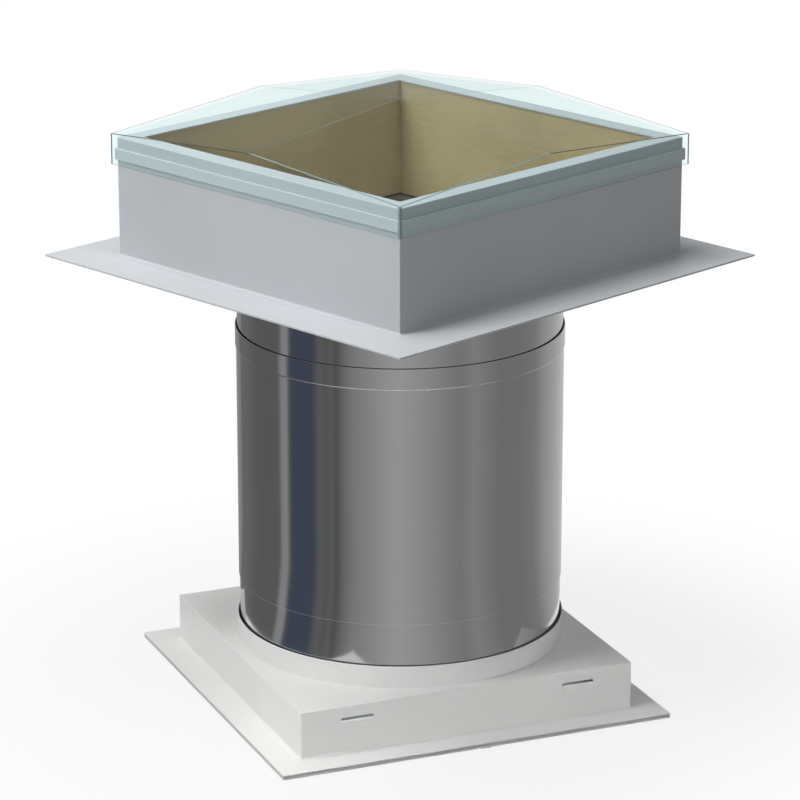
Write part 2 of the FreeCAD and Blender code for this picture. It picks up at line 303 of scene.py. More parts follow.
def new_piece(name, parts, material, replaced=(), sharp=35.0):
    """A mesh from closed parts, each given as its rings, whether they wrap round and, if it has
    any, its holes. The end rings of a part that doesn't wrap are closed by flat faces."""
    points = []
    faces = []
    start = 0
    for rings, wrap, *holes in parts:
        flat = rings.reshape(-1, 3)
        quads = ring_faces(rings, wrap)
        if holes:
            quads = opened(quads, rings.shape[1], holes[0])
        caps = []
        if not wrap:
            around = rings.shape[1]
            first = np.arange(around)[::-1]
            last = np.arange(around) + (rings.shape[0] - 1) * around
            caps = [first, last]
        if enclosed(flat, quads) < 0:
            quads = quads[:, ::-1]
            caps = [cap[::-1] for cap in caps]
        faces.extend((quads + start).tolist())
        faces.extend((cap + start).tolist() for cap in caps)
        points.append(flat)
        start += len(flat)
    mesh = bpy.data.meshes.new(name)
    mesh.from_pydata(np.concatenate(points).tolist(), [], faces)
    mesh.polygons.foreach_set("use_smooth", np.ones(len(mesh.polygons), bool))
    mesh.set_sharp_from_angle(angle=math.radians(sharp))
    mesh.validate()
    piece = bpy.data.objects.new(name, mesh)
    bpy.context.scene.collection.objects.link(piece)
    piece.data.materials.append(material)
    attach(piece, BODY)
    if replaced:
        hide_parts(*replaced)
    return piece


def new_band(name, corners, radii, material, node, more=()):
    """A closed band about the Z axis in a CAD node's place. Its section has the corners, rounded
    by the radii, and more closed parts can be joined to it."""
    band = (round_rings(eased(corners, radii)), True)
    return new_piece(name, [band, *more], material, [node])


def dress(node, material):
    """Gives a CAD node its material."""
    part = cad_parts[node]
    part.data.materials.clear()
    part.data.materials.append(material)


class Shade:
    """A value in a tree of nodes. Arithmetic on it adds Math nodes to the tree."""

    def __init__(self, tree, socket):
        self.tree = tree
        self.socket = socket

    def math(self, operation, *others, clamp=False):
        inputs = {index: value for index, value in enumerate((self,) + others)}
        settings = {"operation": operation, "use_clamp": clamp}
        return self.tree.node("ShaderNodeMath", settings, inputs)

    def __add__(self, other):
        return self.math("ADD", other)

    __radd__ = __add__

    def __sub__(self, other):
        return self.math("SUBTRACT", other)

    def __rsub__(self, other):
        return self.tree.node("ShaderNodeMath", {"operation": "SUBTRACT"}, {0: other, 1: self})

    def __mul__(self, other):
        return self.math("MULTIPLY", other)

    __rmul__ = __mul__

    def __truediv__(self, other):
        return self.math("DIVIDE", other)

    def __abs__(self):
        return self.math("ABSOLUTE")

    def beside(self, output):
        """Another output of the node that this value comes from."""
        return Shade(self.tree, self.socket.node.outputs[output])

    def step(self, low, high):
        """0 below low and 1 above high, smooth between them."""
        settings = {"interpolation_type": "SMOOTHSTEP"}
        return self.tree.node("ShaderNodeMapRange", settings, {"Value": self, 1: low, 2: high})


class Tree:
    """The nodes of a material or a world. node() makes any node."""

    def __init__(self, owner):
        owner.use_nodes = True
        self.tree = owner.node_tree
        self.tree.nodes.clear()

    def node(self, kind, settings, inputs, output=0):
        """A node of that kind with its settings, its inputs as numbers, colours or Shades, and
        one of its outputs, if it has any, as a Shade. A ramp's stops are its setting "stops"."""
        made = self.tree.nodes.new(kind)
        for key, value in settings.items():
            if key == "stops":
                self.set_stops(made.color_ramp, value)
            else:
                setattr(made, key, value)
        for key, value in inputs.items():
            socket = made.inputs[key]
            if isinstance(value, Shade):
                self.tree.links.new(value.socket, socket)
            else:
                socket.default_value = value
        return Shade(self, made.outputs[output]) if made.outputs else None

    @staticmethod
    def set_stops(ramp, stops):
        while len(ramp.elements) > 1:
            ramp.elements.remove(ramp.elements[-1])
        for index, (position, colour) in enumerate(stops):
            if index == 0:
                ramp.elements[0].position = position
                element = ramp.elements[0]
            else:
                element = ramp.elements.new(position)
            element.color = tuple(colour) + (1.0,) * (4 - len(colour))

    def seen(self, in_metal=1.0):
        """1 for rays that the eye sees directly or through the dome, and a share of that for
        those that it sees in metal."""
        eye = self.node("ShaderNodeLightPath", {}, {}, "Is Camera Ray")
        metal = eye.beside("Is Glossy Ray")
        through = eye.beside("Is Transmission Ray")
        return (eye + metal * in_metal).math("ADD", through, clamp=True)


class Finish(Tree):
    """A procedural material on the object's own coordinates. Its methods name common nodes."""

    def __init__(self, name):
        self.material = bpy.data.materials.new(name)
        super().__init__(self.material)
        self.place = self.node("ShaderNodeTexCoord", {}, {}, "Object")
        self.x = self.node("ShaderNodeSeparateXYZ", {}, {0: self.place}, "X")
        self.y = self.x.beside("Y")
        self.z = self.x.beside("Z")

    def noise(self, scale, detail=3.0, stretch=(1.0, 1.0, 1.0), roughness=0.5):
        """Noise from 0 to 1 on the object's own coordinates, in cells per metre."""
        place = self.node("ShaderNodeMapping", {}, {"Vector": self.place, "Scale": stretch})
        inputs = {"Vector": place, "Scale": scale, "Detail": detail, "Roughness": roughness}
        return self.node("ShaderNodeTexNoise", {}, inputs)

    def mix(self, factor, low, high):
        """A colour between low and high."""
        inputs = {"Factor": factor, 6: low, 7: high}
        return self.node("ShaderNodeMix", {"data_type": "RGBA"}, inputs, 2)

    def bump(self, height, distance, strength=1.0):
        inputs = {"Height": height, "Distance": distance, "Strength": strength}
        return self.node("ShaderNodeBump", {}, inputs)

    def principled(self, inputs):
        return self.node("ShaderNodeBsdfPrincipled", {}, inputs)

    def finished(self, shader):
        """The material with the shader as its surface."""
        self.node("ShaderNodeOutputMaterial", {}, {"Surface": shader})
        return self.material

    def coated(self, inputs):
        """The material with one Principled shader as its surface."""
        return self.finished(self.principled(inputs))

    def azimuth(self):
        """The angle about the Z axis, from 0 to 1 for a full turn from minus X."""
        turn = self.y.math("ARCTAN2", self.x)
        return turn / (2 * math.pi) + 0.5


def rgba(colour, factor=1.0):
    return tuple(min(1.0, channel * factor) for channel in colour[:3]) + (1.0,)


def mirror_finish(name, looks):
    """Polished sheet: fine streaks along the tube, a faint waviness of the rolled sheet and a
    slightly duller film in patches."""
    shade = Finish(name)
    streak = shade.noise(900.0, 2.0, (1.0, 1.0, 0.02))
    cloud = shade.noise(9.0, 3.0)
    wave = shade.noise(5.0, 1.0, (1.0, 1.0, 0.35))
    colour = shade.mix(cloud * 0.5 + streak * 0.3, rgba(looks.metal, 0.93), rgba(looks.metal, 1.05))
    rough = looks.metal_roughness + (cloud - 0.5) * 0.05 + (streak - 0.5) * 0.05
    relief = shade.bump(wave + streak * 0.004, 0.6 * MM, 0.5)
    return shade.coated(
        {"Base Color": colour, "Metallic": 1.0, "Roughness": rough, "Normal": relief}
    )


def kerb_finish(name, looks):
    """Light grey powder coat: fine orange peel, and tone that drifts a little over the sheet."""
    shade = Finish(name)
    peel = shade.noise(1400.0, 2.0)
    cloud = shade.noise(6.0, 4.0)
    colour = shade.mix(cloud.step(0.3, 0.7), rgba(looks.kerb, 0.96), rgba(looks.kerb, 1.03))
    rough = 0.36 + cloud * 0.12 + peel * 0.05
    relief = shade.bump(peel, 0.03 * MM, 0.35)
    return shade.coated({"Base Color": colour, "Roughness": rough, "Normal": relief})


def lining_finish(name, looks):
    """Khaki facing board with a slight gloss, faint streaks and cloudy tone."""
    shade = Finish(name)
    cloud = shade.noise(7.0, 4.0)
    streak = shade.noise(60.0, 3.0, (1.0, 1.0, 8.0))
    tone = cloud * 0.7 + streak * 0.3
    colour = shade.mix(tone.step(0.35, 0.65), rgba(looks.lining, 0.9), rgba(looks.lining, 1.08))
    rough = 0.34 + cloud * 0.15
    relief = shade.bump(shade.noise(900.0, 3.0), 0.03 * MM, 0.3)
    return shade.coated({"Base Color": colour, "Roughness": rough, "Normal": relief})


def white_finish(name, looks, factor=1.0):
    """Satin white powder coat: fine orange peel and a tone that drifts a little. The factor
    darkens it as painted shade for the pane frame, standing in for the shadow under the box's
    flange."""
    shade = Finish(name)
    peel = shade.noise(1300.0, 2.0)
    cloud = shade.noise(8.0, 3.0)
    low = rgba(looks.ceiling, 0.97 * factor)
    high = rgba(looks.ceiling, 1.01 * factor)
    colour = shade.mix(cloud.step(0.3, 0.7), low, high)
    rough = 0.38 + cloud * 0.1
    relief = shade.bump(peel, 0.03 * MM, 0.3)
    return shade.coated({"Base Color": colour, "Roughness": rough, "Normal": relief})


def dome_finish(name, looks, low_z, half):
    """Clear acrylic with a faint green-blue tint. Light goes straight through the thin sheet, and
    some is reflected: with f running from 0 where the sheet faces the eye to 1 where it lies
    along the view, a share of 0.04 + 0.96 f^5, times the looks' reflection. Folds and edges
    get painted lines: fine grey-green lines in the colour, standing in for the light that the
    sheet bends there. Painted shade makes them darker in the two quarters where x and y have
    the same sign, at the ends seen edge-on from the camera. Shadow and diffuse rays pass
    untouched."""
    shade = Finish(name)
    level = shade.node("ShaderNodeNewGeometry", {}, {}, "True Normal")
    upward = abs(shade.node("ShaderNodeSeparateXYZ", {}, {0: level}, "Z"))
    rounding = upward.step(0.04, 0.12)
    upward = upward.step(0.2, 0.6)
    across_x = abs(shade.x)
    across_y = abs(shade.y)
    # Painted lines at the folds, the brim, the corners and the foot: colour standing in for the
    # light that the acrylic bends there
    fold = 1 - across_x.math("MINIMUM", across_y).step(0.3 * MM, 1.0 * MM)
    longer = across_x.math("MAXIMUM", across_y)
    brim = longer.step(half - 2.2 * MM, half - 1.4 * MM)
    corner = (across_x + across_y).step(2 * half - 3.6 * MM, 2 * half - 1.8 * MM)
    foot = 1 - shade.z.step(low_z + 0.3 * MM, low_z + 1.0 * MM)
    line = (upward * fold * 0.6).math("MAXIMUM", rounding * brim * 0.8)
    line = line.math("MAXIMUM", corner * 0.9).math("MAXIMUM", foot * 0.3)
    line = line * (1 - level.beside("Backfacing"))
    haze = shade.noise(25.0, 3.0)
    slant = shade.node("ShaderNodeLayerWeight", {}, {"Blend": 0.5}, "Facing")
    share = (slant.math("POWER", 5.0) * 0.96 + 0.04) * looks.dome_reflection
    clear = shade.node("ShaderNodeBsdfTransparent", {}, {"Color": rgba(looks.dome)})
    gloss = shade.principled(
        {
            "Base Color": shade.mix(haze, (1.0, 1.0, 1.0, 1.0), (0.94, 0.96, 0.96, 1.0)),
            "Metallic": 1.0,
            "Roughness": 0.01 + haze * 0.04,
        }
    )
    thin = shade.node("ShaderNodeMixShader", {}, {0: share, 1: clear, 2: gloss})
    # Painted shade: the lines are darkened to 0.12 in the two quarters where x and y have the same
    # sign, the ends seen edge-on from the camera
    ends = (shade.x * shade.y).step(-0.0001, 0.0001)
    edge = shade.mix(ends, rgba(looks.dome_edge), rgba(looks.dome_edge, 0.12))
    body = shade.principled({"Base Color": edge, "Roughness": 0.3})
    sheet = shade.node("ShaderNodeMixShader", {}, {0: line, 1: thin, 2: body})
    shadow = shade.node("ShaderNodeLightPath", {}, {}, "Is Shadow Ray")
    through = shadow.math("MAXIMUM", shadow.beside("Is Diffuse Ray"))
    return shade.finished(shade.node("ShaderNodeMixShader", {}, {0: through, 1: sheet, 2: clear}))


def soft_finish(name, colour, rough, grain_scale):
    """Rubber, foam or tape: a matt surface with its own fine grain."""
    shade = Finish(name)
    grain = shade.noise(grain_scale, 4.0)
    tone = shade.mix(grain, rgba(colour, 0.85), rgba(colour, 1.15))
    relief = shade.bump(grain, 0.1 * MM, 0.5)
    return shade.coated({"Base Color": tone, "Roughness": rough + grain * 0.1, "Normal": relief})


def zinc_finish(name, reach=None):
    """Zinc-plated steel: pale metal with a fine cloudy spangle. Screws on the X and Y axes at a
    reach from the middle get a cross recess: two short crossed bars, let in by a bump and
    darkened with painted shade for the shadow inside the recess."""
    shade = Finish(name)
    spangle = shade.noise(1200.0, 2.0)
    tone = shade.mix(spangle, (0.5, 0.51, 0.53, 1.0), (0.68, 0.68, 0.67, 1.0))
    relief = spangle * 0.1
    if reach:
        across_x = abs(shade.x)
        across_y = abs(shade.y)
        along = abs(across_x.math("MAXIMUM", across_y) - reach)
        beside = across_x.math("MINIMUM", across_y)
        bar = (1 - along.step(0.4 * MM, 0.6 * MM)) * (1 - beside.step(1.8 * MM, 2.1 * MM))
        other = (1 - beside.step(0.4 * MM, 0.6 * MM)) * (1 - along.step(1.8 * MM, 2.1 * MM))
        recess = bar.math("MAXIMUM", other)
        # Painted shade: the recess's bars are darkened to stand in for the shadow inside them
        tone = shade.mix(recess, tone, (0.05, 0.05, 0.055, 1.0))
        relief = relief - recess
    rough = 0.3 + spangle * 0.15
    inputs = {"Base Color": tone, "Metallic": 1.0, "Roughness": rough}
    inputs["Normal"] = shade.bump(relief, 0.3 * MM)
    return shade.coated(inputs)


def opal_finish(name, looks):
    """Opal acrylic: nearly white, lit through, with a fine matt grain on a glossy sheet."""
    shade = Finish(name)
    grain = shade.noise(2500.0, 2.0)
    tone = shade.mix(grain * 0.5, rgba(looks.pane, 0.97), rgba(looks.pane, 1.0))
    return shade.coated(
        {
            "Base Color": tone,
            "Roughness": 0.3 + grain * 0.1,
            "Transmission Weight": 0.25,
            "Subsurface Weight": 0.3,
            "Normal": shade.bump(grain, 0.02 * MM, 0.3),
        }
    )


def shared(make, name, *values):
    """The finish of that name, made on first use."""
    return bpy.data.materials.get(name) or make(name, *values)


def colour(name, description, default):
    return FloatVectorProperty(
        name=name, description=description, subtype="COLOR", default=default, min=0.0, max=1.0
    )


def share(name, description, default):
    return FloatProperty(
        name=name, description=description, subtype="FACTOR", default=default, min=0.0, max=1.0
    )


def size(name, description, millimetres):
    default = millimetres * MM
    return FloatProperty(
        name=name, description=description, subtype="DISTANCE", default=default, min=0.0
    )


class SkylightLooks(bpy.types.PropertyGroup):
    """The colours and finishes of the skylight."""

    dome: colour("Dome tint", "Colour that the acrylic gives to light", (0.96, 0.995, 0.995))
    # Colour of the dome's painted lines along its edges and folds, standing in for the light that
    # the acrylic bends there
    dome_edge: colour("Dome edge", "Acrylic along its edges and folds", (0.2, 0.27, 0.28))
    dome_reflection: share("Dome reflection", "How much the acrylic reflects", 0.18)
    tape: colour("Dome tape", "Tape that bonds the dome to the kerb", (0.52, 0.54, 0.555))
    kerb: colour("Kerb coat", "Powder coat of the kerb's sheet", (0.475, 0.495, 0.515))
    lining: colour("Kerb lining", "Boards inside the kerb", (0.455, 0.353, 0.188))
    metal: colour("Mirror sheet", "Polished tube, collar, ring and plate", (0.66, 0.665, 0.67))
    metal_roughness: share("Mirror roughness", "How much the polished sheet blurs", 0.1)
    ceiling: colour("Ceiling frame coat", "Coat of the ceiling frame", (0.77, 0.77, 0.755))
    pane: colour("Pane", "Opal acrylic of the ceiling pane", (0.8, 0.82, 0.83))
    foam: colour("Foam", "Gaskets of the plate, flange and pane", (0.09, 0.09, 0.1))
    rubber: colour("Rubber", "Edge of the ring and seal of the socket", (0.03, 0.03, 0.033))


class SkylightSizes(bpy.types.PropertyGroup):
    """Sizes of the skylight's sheets and folds. Its overall sizes come from the frame."""

    dome_wall: size("Dome wall", "Thickness of the acrylic", 3.0)
    dome_corner_height: size("Dome corner", "From the dome's foot up to a corner", 33.0)
    dome_mid_height: size("Dome side", "From the dome's foot up to a side's middle", 49.0)
    kerb_sheet: size("Kerb sheet", "Thickness of the kerb's sheet", 2.0)
    kerb_rim: size("Kerb rim", "Width of the rim round the kerb's top", 20.0)
    band_sheet: size("Band sheet", "Thickness of the tube, the collar and the ring", 0.8)
    socket_height: size("Socket", "Height of the wider top of the tube", 22.0)
    seam_width: size("Lock seam", "Width of the fold down the tube's back", 9.0)
    hem_height: size("Hem", "Height of the folded foot of the ring", 8.0)
    box_sheet: size("Box sheet", "Thickness of the ceiling frame's walls", 1.2)
    slot_length: size("Slot length", "Length of each slot in the frame's walls", 36.0)
    slot_height: size("Slot height", "Height of each slot in the frame's walls", 3.0)
    tab_lean: size("Tab lean", "How far a slot's tab leans out of the wall", 2.8)
    rivet_radius: size("Rivet", "Radius of the clips' rivet heads", 2.2)


class SkylightView(bpy.types.PropertyGroup):
    """The camera and the light round the skylight."""

    azimuth: FloatProperty(
        name="Camera azimuth",
        description="Direction that the camera stands in, from the front",
        subtype="ANGLE",
        default=math.radians(45.0),
    )
    reach: FloatProperty(
        name="Camera distance",
        description="Level distance from the tube's axis to the camera",
        subtype="DISTANCE",
        default=3.907,
        min=0.5,
    )
    height: FloatProperty(
        name="Camera height",
        description="Height of the camera over the floor",
        subtype="DISTANCE",
        default=1.56,
    )
    lens: FloatProperty(
        name="Lens",
        description="Focal length in millimetres on a 36 mm sensor",
        default=172.0,
        min=10.0,
    )
    light: FloatProperty(
        name="Light",
        description="Factor on the power of all the lamps",
        subtype="FACTOR",
        default=1.0,
        min=0.0,
        soft_max=2.0,
    )


class SkylightOperator:
    """What the skylight's operators share."""

    bl_options = {"REGISTER", "UNDO"}

    @property
    def looks(self):
        return bpy.context.scene.skylight_looks

    @property
    def sizes(self):
        return bpy.context.scene.skylight_sizes

    @property
    def sleeve(self):
        """Outer radius of the collar and the ring, which slide into the tube."""
        return TUBE_RADIUS - self.sizes.band_sheet - SLIP_GAP

    @property
    def mirror(self):
        return shared(mirror_finish, "mirror_sheet", self.looks)

    @property
    def foam(self):
        return shared(soft_finish, "gasket_foam", self.looks.foam, 0.8, 900.0)

    @property
    def rubber(self):
        return shared(soft_finish, "black_rubber", self.looks.rubber, 0.6, 1500.0)


class SKYLIGHT_OT_dome(SkylightOperator, bpy.types.Operator):
    """Build the clear dome over the kerb"""

    bl_idname = "skylight.dome"
    bl_label = "Dome"

    def execute(self, context):
        sizes = self.sizes
        low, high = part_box("dome_cover")
        foot = low[2]
        half = (high[0] - low[0]) / 2
        apex = high[2] - foot
        rise = (apex - sizes.dome_mid_height) / half
        fall = (sizes.dome_mid_height - sizes.dome_corner_height) / half
        upright_wall = sizes.dome_wall * math.sqrt(1 + rise ** 2 + fall ** 2)
        beside = DOME_ROUND + 0.3 * MM

        def squares(outline, corner):
            return square_rings(np.array(outline), corner, side_steps=DOME_SIDE_STEPS)

        def facets(reach, drop, corner):
            """Squares from the middle out, lifted to z = apex - rise * longer - fall * shorter,
            of the level distances from the axis."""
            spans = np.array([0.1 * MM, 3 * MM, reach / 2, reach - 0.3 * MM, reach])
            rings = squares([(span, 0.0) for span in spans], corner * spans / reach)
            across = np.abs(rings[:, :, :2])
            longer = across.max(axis=2)
            shorter = across.min(axis=2)
            rings[:, :, 2] = foot + apex - drop - rise * longer - fall * shorter
            return rings

        top = facets(half - DOME_ROUND, 0.0, DOME_CORNER - DOME_ROUND)
        brim = squares([(half, 0.0), (half, 0.0)], DOME_CORNER)
        brim[0, :, 2] = top[-1, :, 2] - DOME_ROUND
        brim[1, :, 2] = brim[0, :, 2] - 0.3 * MM
        # The knee between them bulges out of the straight line by these shares of its radius
        share = np.linspace(0.25, 0.75, 3)[:, None, None]
        bulge = np.array([0.12, 0.2, 0.12])[:, None, None] * DOME_ROUND
        outward = unit(brim[0] * np.array([1.0, 1.0, 0.0])) + np.array([0.0, 0.0, 1.0])
        knee = top[-1:] * (1 - share) + brim[:1] * share + outward[None] * bulge
        outer_foot = squares(
            [(half, foot + beside), (half, foot + DOME_ROUND), (half - DOME_ROUND, foot)],
            DOME_CORNER,
        )
        inner = half - sizes.dome_wall + DOME_TAPE_GAP
        inner_foot = squares(
            [(inner + DOME_ROUND, foot), (inner, foot + DOME_ROUND), (inner, foot + beside)],
            DOME_INNER_CORNER,
        )
        under = facets(inner, upright_wall, DOME_INNER_CORNER)[::-1]
        rings = np.concatenate([top, knee, brim, outer_foot, inner_foot, under])
        acrylic = dome_finish("clear_acrylic", self.looks, foot, half)
        new_piece("clear_dome", [(rings, False)], acrylic, ["dome_cover"], 20.0)
        dress("dome_seal_tape", soft_finish("pale_seal", self.looks.tape, 0.6, 800.0))
        return {"FINISHED"}


class SKYLIGHT_OT_kerb(SkylightOperator, bpy.types.Operator):
    """Build the kerb's folded sheet and finish the boards inside it"""

    bl_idname = "skylight.kerb"
    bl_label = "Kerb"

    def execute(self, context):
        low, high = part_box("kerb_shell")
        tip = high[0]
        base = low[2]
        top = high[2]
        sheet = self.sizes.kerb_sheet
        wall = KERB_SIDE / 2
        inner = wall - sheet
        opening = wall - self.sizes.kerb_rim
        edge = 0.4 * MM
        outline = eased(
            [
                (tip, base),
                (tip, base + sheet),
                (wall, base + sheet),
                (wall, top),
                (opening, top),
                (opening, top - sheet),
                (inner, top - sheet),
                (inner, base),
            ],
            [edge, edge, KERB_BEND, 1.2 * MM, edge, edge, edge, KERB_BEND + sheet],
        )
        corner = np.where(outline[:, 0] > wall + KERB_BEND, CUT_CORNER, FOLD_CORNER)
        rings = square_rings(outline, corner)
        coat = kerb_finish("kerb_coat", self.looks)
        new_piece("kerb_sheet", [(rings, True)], coat, ["kerb_shell"])
        board = lining_finish("lining_face", self.looks)
        for side in ("right", "back", "left", "front"):
            dress("kerb_lining_" + side, board)
        dress("adapter_gasket", self.foam)
        return {"FINISHED"}


class SKYLIGHT_OT_adapter(SkylightOperator, bpy.types.Operator):
    """Build the adapter plate and its collar, and finish its screws"""

    bl_idname = "skylight.adapter"
    bl_label = "Adapter"

    def execute(self, context):
        sheet = self.sizes.band_sheet
        bore = self.sleeve - sheet
        low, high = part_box("adapter_plate")
        edges = (0.3 * MM,) * 3
        rings = holed_sheet(high[0], bore, low[2], high[2], CUT_CORNER, edges)
        new_piece("plate_sheet", [(rings, True)], self.mirror, ["adapter_plate"])

        low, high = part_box("adapter_collar")
        lip = self.sleeve + COLLAR_LIP
        corners = [
            (bore, low[2]),
            (self.sleeve, low[2]),
            (self.sleeve, high[2] - sheet),
            (lip, high[2] - sheet),
            (lip, high[2]),
            (bore, high[2]),
        ]
        new_band(
            "collar_band", corners, BAND_EDGE, self.mirror, "adapter_collar"
        )
        dress("adapter_screws", zinc_finish("zinc_screws", SCREW_REACH))
        return {"FINISHED"}


class SKYLIGHT_OT_tube(SkylightOperator, bpy.types.Operator):
    """Build the light tube with its socket and lock seam"""

    bl_idname = "skylight.tube"
    bl_label = "Light tube"

    def execute(self, context):
        low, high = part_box("light_tube")
        sheet = self.sizes.band_sheet
        bore = TUBE_RADIUS - sheet
        shoulder = high[2] - self.sizes.socket_height
        wide = TUBE_RADIUS + SOCKET_GROWTH
        soft = 0.48 * MM
        corners = [
            (bore, low[2]),
            (TUBE_RADIUS, low[2]),
            (TUBE_RADIUS, shoulder - SOCKET_GROWTH),
            (wide, shoulder),
            (wide, high[2]),
            (wide - sheet, high[2]),
            (wide - sheet, shoulder),
            (bore, shoulder - SOCKET_GROWTH),
        ]
        radii = [BAND_EDGE, BAND_EDGE, soft, soft, BAND_EDGE, BAND_EDGE, soft, soft]
        seam = [(self.seam(low[2], shoulder - 2 * SOCKET_GROWTH), False)]
        metal = self.mirror
        new_band("mirror_tube", corners, radii, metal, "light_tube", seam)
        dress("socket_seal", self.rubber)
        return {"FINISHED"}

    def seam(self, low, high):
        """The lock seam: a flat fold down the tube's back. Its section is a low rounded block on
        the wall, carried up the tube, and it tapers at both ends."""
        width = self.sizes.seam_width / 2
        root = TUBE_RADIUS - 0.2 * MM
        crown = TUBE_RADIUS + SEAM_HEIGHT
        section = eased(
            [(root, -width), (crown, -width), (crown, width), (root, width)],
            [0.05 * MM, 0.5 * MM, 0.5 * MM, 0.05 * MM],
        )
        heights = np.array([low, low + 1 * MM, high - 1 * MM, high])
        scale = np.array([0.8, 1.0, 1.0, 0.8])[:, None]
        out = root + (section[None, :, 0] - root) * scale
        side = section[None, :, 1] * (0.5 + 0.5 * scale)
        height = np.broadcast_to(heights[:, None], out.shape)
        return np.stack([*turned(out, side, SEAM_AZIMUTH), height], axis=2)


class SKYLIGHT_OT_ring(SkylightOperator, bpy.types.Operator):
    """Build the lower ring with its hem and its rubber edge"""

    bl_idname = "skylight.ring"
    bl_label = "Lower ring"

    def execute(self, context):
        sheet = self.sizes.band_sheet
        bore = self.sleeve - sheet
        hem = self.sleeve + sheet
        low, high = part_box("lower_ring")
        hem_top = low[2] + self.sizes.hem_height
        corners = [
            (bore, low[2]),
            (hem, low[2]),
            (hem, hem_top),
            (self.sleeve, hem_top + sheet),
            (self.sleeve, high[2]),
            (bore, high[2]),
        ]
        new_band("ring_band", corners, BAND_EDGE, self.mirror, "lower_ring")
        low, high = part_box("ring_edge_seal")
        inside = bore - EDGE_INSET
        outside = (high[0] - low[0]) / 2
        corners = [(inside, low[2]), (outside, low[2]), (outside, high[2]), (inside, high[2])]
        new_band("ring_rubber", corners, 0.4 * MM, self.rubber, "ring_edge_seal")
        return {"FINISHED"}


class SKYLIGHT_OT_ceiling(SkylightOperator, bpy.types.Operator):
    """Build the ceiling frame's walls, top, collar and rivets, and finish its pane and clips"""

    bl_idname = "skylight.ceiling"
    bl_label = "Ceiling frame"

    def execute(self, context):
        white = white_finish("frame_coat", self.looks)
        self.walls(white)
        low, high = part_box("ceiling_box_top")
        edges = (0.05 * MM, 0.7 * MM, 0.2 * MM)
        sheet = holed_sheet(
            BOX_SIDE / 2, LEDGE_RADIUS, low[2], high[2], FOLD_CORNER, edges, FRAME_TURN
        )
        new_piece("frame_top", [(sheet, True)], white, ["ceiling_box_top"])
        # The pane frame gets the white coat darkened as painted shade, standing in for the shadow
        # under the box's flange
        dress("pane_frame", white_finish("pane_frame_shaded_coat", self.looks, 0.62))
        dress("flange_seal", self.foam)
        dress("pane_gasket", self.foam)
        dress("diffuser_pane", opal_finish("opal_pane", self.looks))
        zinc = zinc_finish("zinc_plate")
        dress("pane_clips", zinc)
        new_piece("clip_rivets", self.rivets(), zinc)
        low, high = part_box("ceiling_collar")
        outside = (high[0] - low[0]) / 2
        inside = outside - FRAME_COLLAR_WALL
        corners = [(inside, low[2]), (outside, low[2]), (outside, high[2]), (inside, high[2])]
        new_band("frame_collar", corners, 0.35 * MM, white, "ceiling_collar")
        return {"FINISHED"}

    def walls(self, white):
        """The box's walls and flange: one section of sheet run round the square, with slots
        through the right and left walls and the slots' metal bent out below them as tabs."""
        low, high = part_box("ceiling_box")
        base = low[2]
        top = high[2]
        sheet = self.sizes.box_sheet
        tip = turned_half(low, high, FRAME_TURN)
        wall = BOX_SIDE / 2
        inner = wall - sheet
        slot_low = base + SLOT_RISE - self.sizes.slot_height / 2
        slot_high = slot_low + self.sizes.slot_height
        edge = 0.3 * MM
        butt = 0.05 * MM
        foot = eased(
            [
                (inner, base),
                (tip, base),
                (tip, base + sheet),
                (wall, base + sheet),
                (wall, top),
                (inner, top),
            ],
            [BOX_BEND + sheet, edge, edge, BOX_BEND, butt, butt],
            BEND_STEPS,
        )
        # The slots' edges stand in the section as two pairs of points, outside and inside
        outer_row = int(np.argmax(foot[:, 1] > slot_low))
        outer_slot = [(wall, slot_low), (wall, slot_high)]
        inner_slot = [(inner, slot_high), (inner, slot_low)]
        outline = np.concatenate([foot[:outer_row], outer_slot, foot[outer_row:], inner_slot])
        inner_row = len(outline) - 2
        corner = np.where(outline[:, 0] > wall + BOX_BEND, BOX_FLANGE_CORNER, FOLD_CORNER)
        slots = np.array([-1.0, 1.0]) * SLOT_OFFSET
        span = self.sizes.slot_length / 2
        columns = np.sort(np.concatenate([slots - span, slots + span, WALL_COLUMNS]))
        rings = square_rings(outline, corner, FRAME_TURN, columns=columns)
        # A wall's first and last slot each take one cell, and the left wall is half a turn on
        half_turn = rings.shape[1] // 2
        first = 1
        last = len(columns) - 1
        cells = [first, last, first + half_turn, last + half_turn]
        holes = [(outer_row, inner_row, cell) for cell in cells]
        parts = [(rings, True, holes)]
        for side in (0.0, math.pi):
            for offset in slots:
                parts.append((self.tab(wall, slot_low, offset, side + FRAME_TURN), False))
        new_piece("frame_walls", parts, white, ["ceiling_box"])

    def tab(self, wall, top, offset, turn):
        """A lip of sheet that leans out from the wall and is rolled back in at its free upper
        edge. Each section along the wall goes up its outer and down its inner face, as shares of
        the lean over shares of the height, and is cut off below by an outline whose lower corners
        are quarter circles."""
        span = self.sizes.slot_length / 2
        foot = top - TAB_HEIGHT - TAB_SHEET
        top = top + TAB_ROLL_RISE
        arc = np.linspace(0.06, 1.0, 8) * math.pi / 2
        corner_side = span - TAB_CORNER + TAB_CORNER * np.cos(arc)
        corner_rise = TAB_CORNER - TAB_CORNER * np.sin(arc)
        side = np.concatenate([-corner_side, corner_side[::-1]])
        rise = np.concatenate([corner_rise, corner_rise[::-1]])
        share = rise / (TAB_HEIGHT + TAB_SHEET)
        rising = np.array([0.0, 0.12, 0.5, 0.72, 0.8, 0.88, 0.95, 1.0])
        outside = np.array([0.0, 0.07, 0.46, 0.78, 0.88, 0.84, 0.64, 0.38])
        inside = np.array([-0.28, -0.21, 0.17, 0.42, 0.5, 0.46, 0.24, 0.2])
        level = share[:, None] + rising[None] * (1 - share[:, None])
        outer = np.interp(level, rising, outside)
        inner = np.interp(level, rising, inside)
        out = wall + self.sizes.tab_lean * np.concatenate([outer, inner[:, ::-1]], axis=1)
        height = foot + np.concatenate([level, level[:, ::-1]], axis=1) * (top - foot)
        y = np.broadcast_to(offset + side[:, None], out.shape)
        return np.stack([*turned(out, y, turn), height], axis=2)

